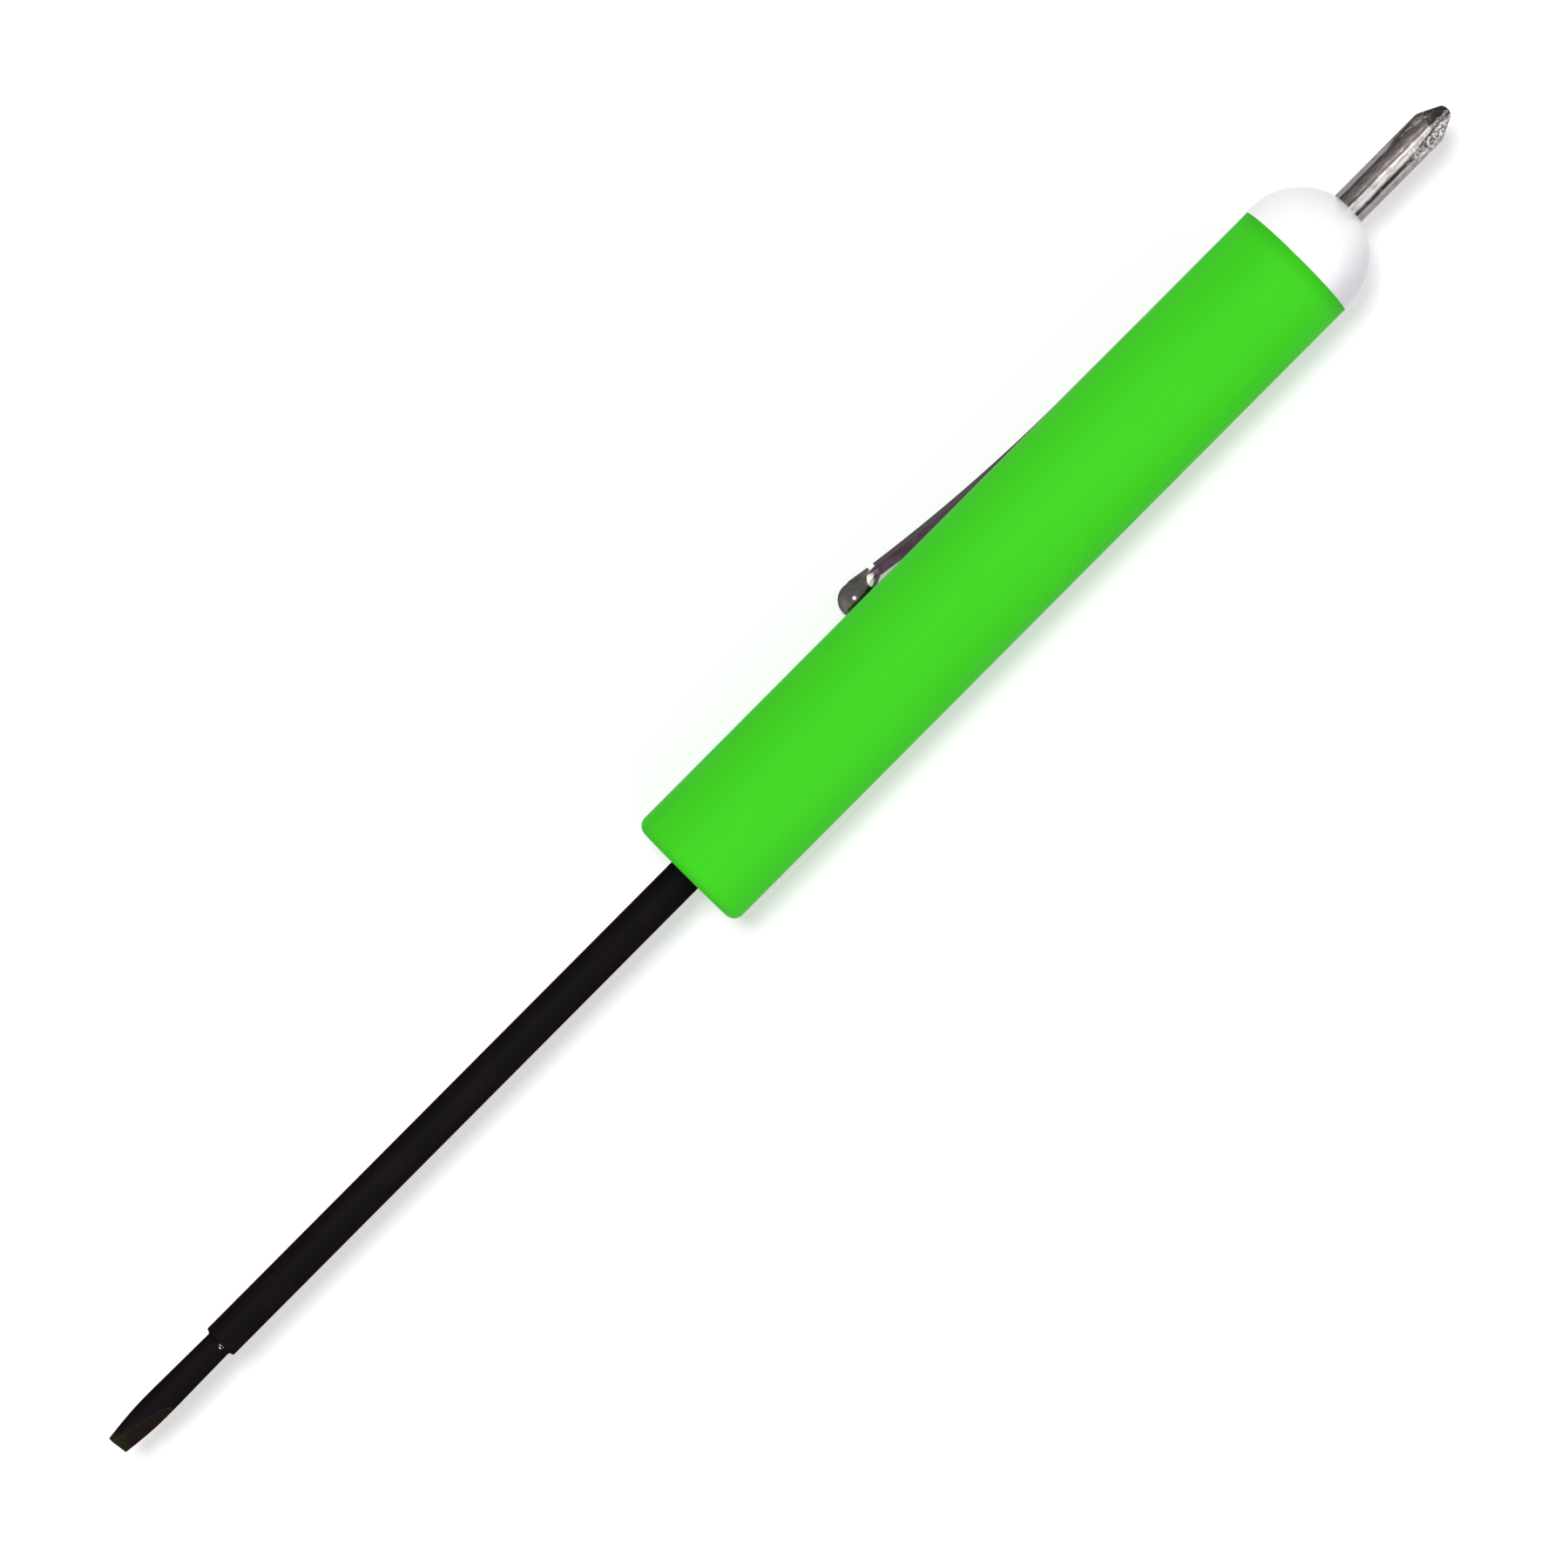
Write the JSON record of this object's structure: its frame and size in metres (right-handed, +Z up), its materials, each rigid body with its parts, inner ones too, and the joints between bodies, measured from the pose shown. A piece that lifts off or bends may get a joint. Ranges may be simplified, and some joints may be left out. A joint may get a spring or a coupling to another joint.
{
  "type": "pocket screwdriver",
  "caption": "Pocket screwdriver: a long flat blade in a round barrel, a short cross-point blade in the domed cap at its other end, and a sprung pocket clip.",
  "frame": {"origin": "centre of the barrel's nose face, where the long blade comes out, on the tool's axis", "axes": "+X along the tool's axis towards the domed cap and the cross-point; +Z up, as the tool lies at rest on its barrel and on the ball of its clip; +Y level, on the clip's side"},
  "size_m": [0.1515, 0.013, 0.0112],
  "materials": {
    "green_plastic": "satin moulded plastic",
    "white_plastic": "gloss moulded plastic",
    "black_steel": "black oxide",
    "plated_steel": "worn nickel plate",
    "spring_steel": "bright plated spring steel"
  },
  "bodies": {
    "handle": {"barrel": "green_plastic", "end_cap": "white_plastic", "flat_blade": "black_steel", "phillips_blade": "plated_steel"},
    "clip": {"pocket_clip": "spring_steel"}
  },
  "joints": [
    {"name": "clip_flex", "type": "hinge", "parent": "handle", "child": "clip", "pos_m": [0.0687, 0.0042, -0.00289], "axis": [0, -0.5664, -0.8241], "range_deg": [0, 5], "stiffness_Nm_per_rad": 0.28}
  ]
}
